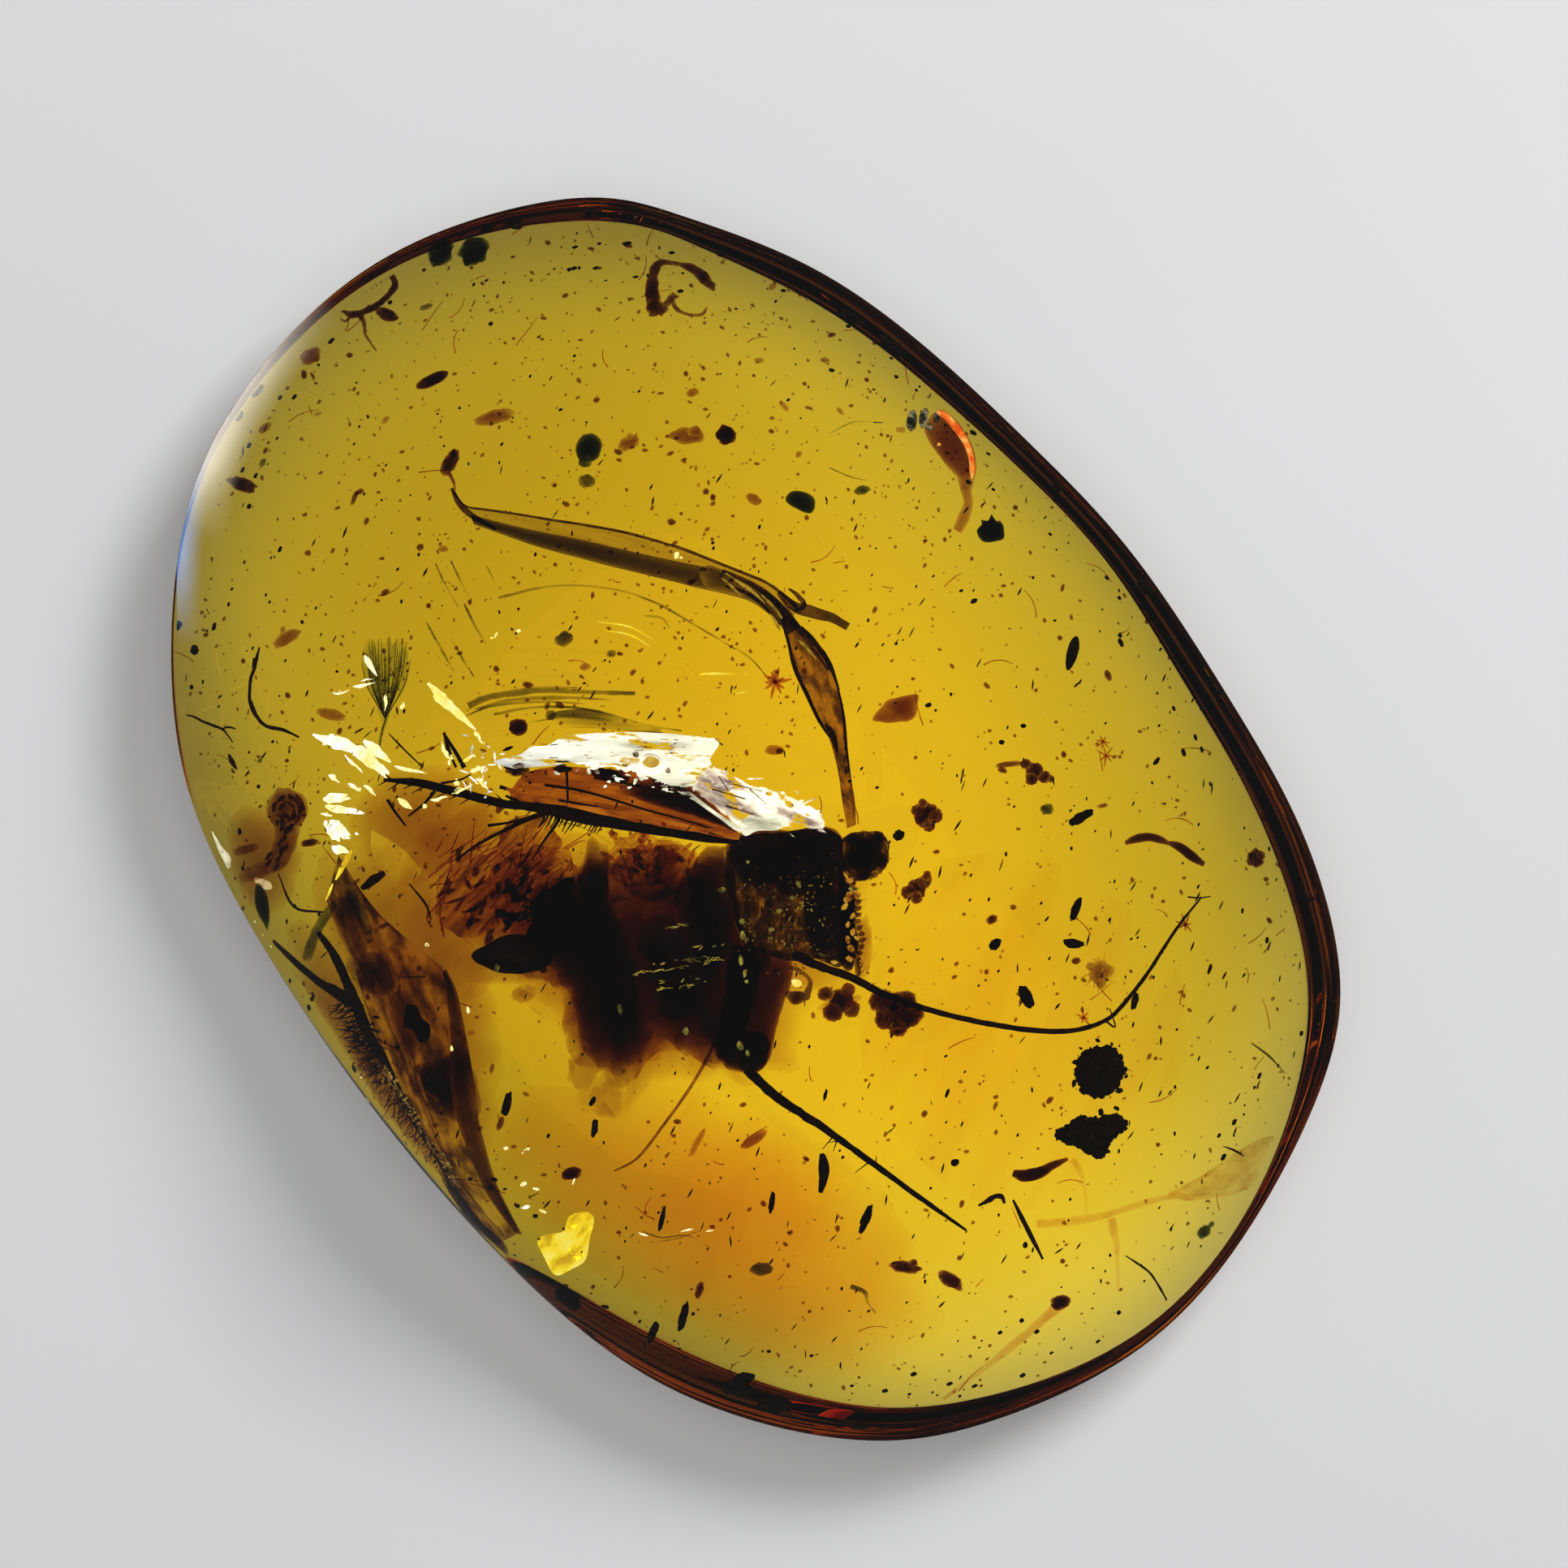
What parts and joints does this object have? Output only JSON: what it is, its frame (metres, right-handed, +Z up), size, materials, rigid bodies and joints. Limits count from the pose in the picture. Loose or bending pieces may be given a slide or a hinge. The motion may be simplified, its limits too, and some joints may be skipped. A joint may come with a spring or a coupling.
{
  "type": "insect in amber",
  "caption": "Polished egg-shaped amber pebble with a dark long-feelered insect, leaf shreds and bark crumbs sealed inside.",
  "frame": {"origin": "centre of the stone's plan, on the flat face that it rests on", "axes": "+Z up through the dome, +Y along the stone's long axis towards its blunter end"},
  "size_m": [0.0298, 0.042, 0.0096],
  "materials": {
    "amber": "clear polished golden amber",
    "dark_cuticle": "dark brown to black insect cuticle",
    "brown_leaf": "dry brown plant shred",
    "brown_film": "thin brown wing membrane",
    "orange_cuticle": "glossy orange-brown beetle shell",
    "grey_fibre": "grey-green plume",
    "black_litter": "black bark and frass crumbs"
  },
  "bodies": {
    "root": {"amber_upper": "amber", "amber_lower": "amber", "insect": "dark_cuticle", "spiny_leg": "dark_cuticle", "wing_blade": "brown_film", "leaf_strip": "brown_leaf", "beetle_fragment": "orange_cuticle", "feathery_tuft": "grey_fibre", "stalked_knob": "brown_leaf", "curled_fragment": "brown_leaf", "forked_fragment": "black_litter", "curved_fragment": "brown_leaf", "crumb_01": "black_litter", "crumb_02": "black_litter", "crumb_03": "black_litter", "crumb_04": "black_litter", "crumb_05": "black_litter", "crumb_06": "black_litter", "crumb_07": "black_litter", "crumb_08": "black_litter", "crumb_09": "black_litter", "crumb_10": "black_litter", "crumb_11": "black_litter", "crumb_12": "black_litter", "crumb_13": "black_litter", "crumb_14": "black_litter", "crumb_15": "black_litter", "crumb_16": "black_litter", "crumb_17": "black_litter", "crumb_18": "black_litter", "crumb_19": "black_litter", "crumb_20": "black_litter", "crumb_21": "black_litter", "crumb_22": "black_litter", "crumb_23": "black_litter", "crumb_24": "black_litter"}
  },
  "joints": []
}
